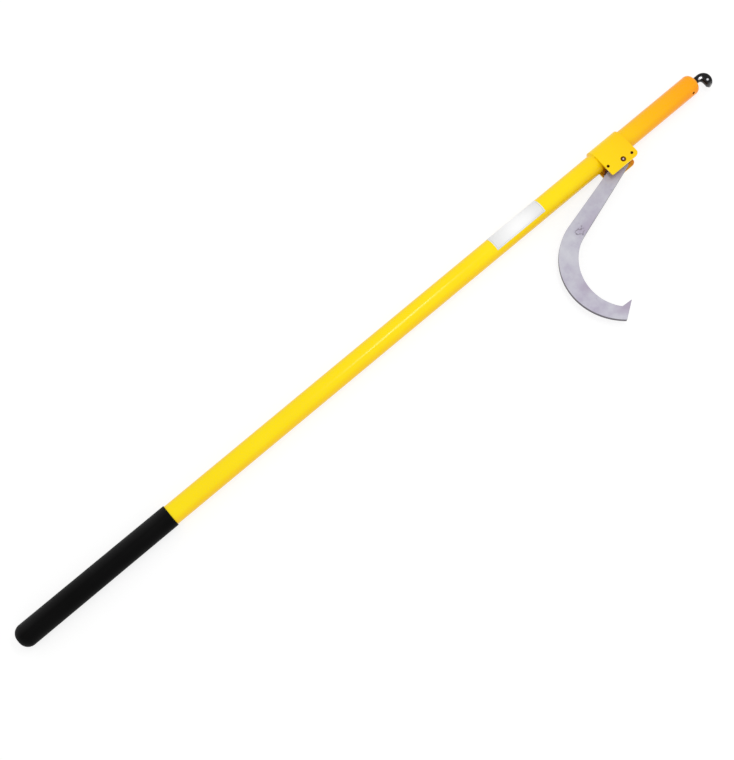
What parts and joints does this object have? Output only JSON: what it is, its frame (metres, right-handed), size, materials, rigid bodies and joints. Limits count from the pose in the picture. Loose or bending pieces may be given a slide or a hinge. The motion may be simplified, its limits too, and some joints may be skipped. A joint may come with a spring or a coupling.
{
  "type": "cant hook",
  "caption": "Long tubular lever for rolling logs, with a swinging flat hook in a bracket near the toe, a short beak at the tip and a soft grip at the butt.",
  "frame": {"origin": "on the outer face of the lower cheek, in line with the hook pivot and halfway down the cheek", "axes": "+X along the handle towards the toe, +Z along the hook's hinge axis, up when the tool lies on its side; the hook swings on the -Y side"},
  "size_m": [1.5628, 0.2734, 0.0463],
  "materials": {
    "yellow_paint": "gloss powder coat, warm yellow",
    "grip_vinyl": "soft matt black dipped vinyl",
    "plug_plastic": "plain moulded black, hidden by the grip",
    "plate_steel": "cut steel plate, lightly mottled and scuffed",
    "bright_steel": "bright turned steel",
    "black_steel": "polished, oil blackened"
  },
  "bodies": {
    "handle": {"handle_tube": "yellow_paint", "butt_plug": "plug_plastic", "grip": "grip_vinyl", "toe_plug": "yellow_paint", "bracket": "yellow_paint", "toe_tooth": "black_steel", "toe_set_screw": "black_steel", "pivot_pin": "bright_steel", "closing_stop_pin": "black_steel", "opening_stop_pin": "black_steel", "upper_washer": "bright_steel", "upper_spacer": "plate_steel", "lower_washer": "bright_steel", "lower_spacer": "plate_steel"},
    "hook": {"hook": "plate_steel"}
  },
  "joints": [
    {"name": "hook_pivot", "type": "hinge", "parent": "handle", "child": "hook", "pos_m": [0, -0.01025, 0.02315], "axis": [0, 0, 1], "range_deg": [0, 108]}
  ]
}
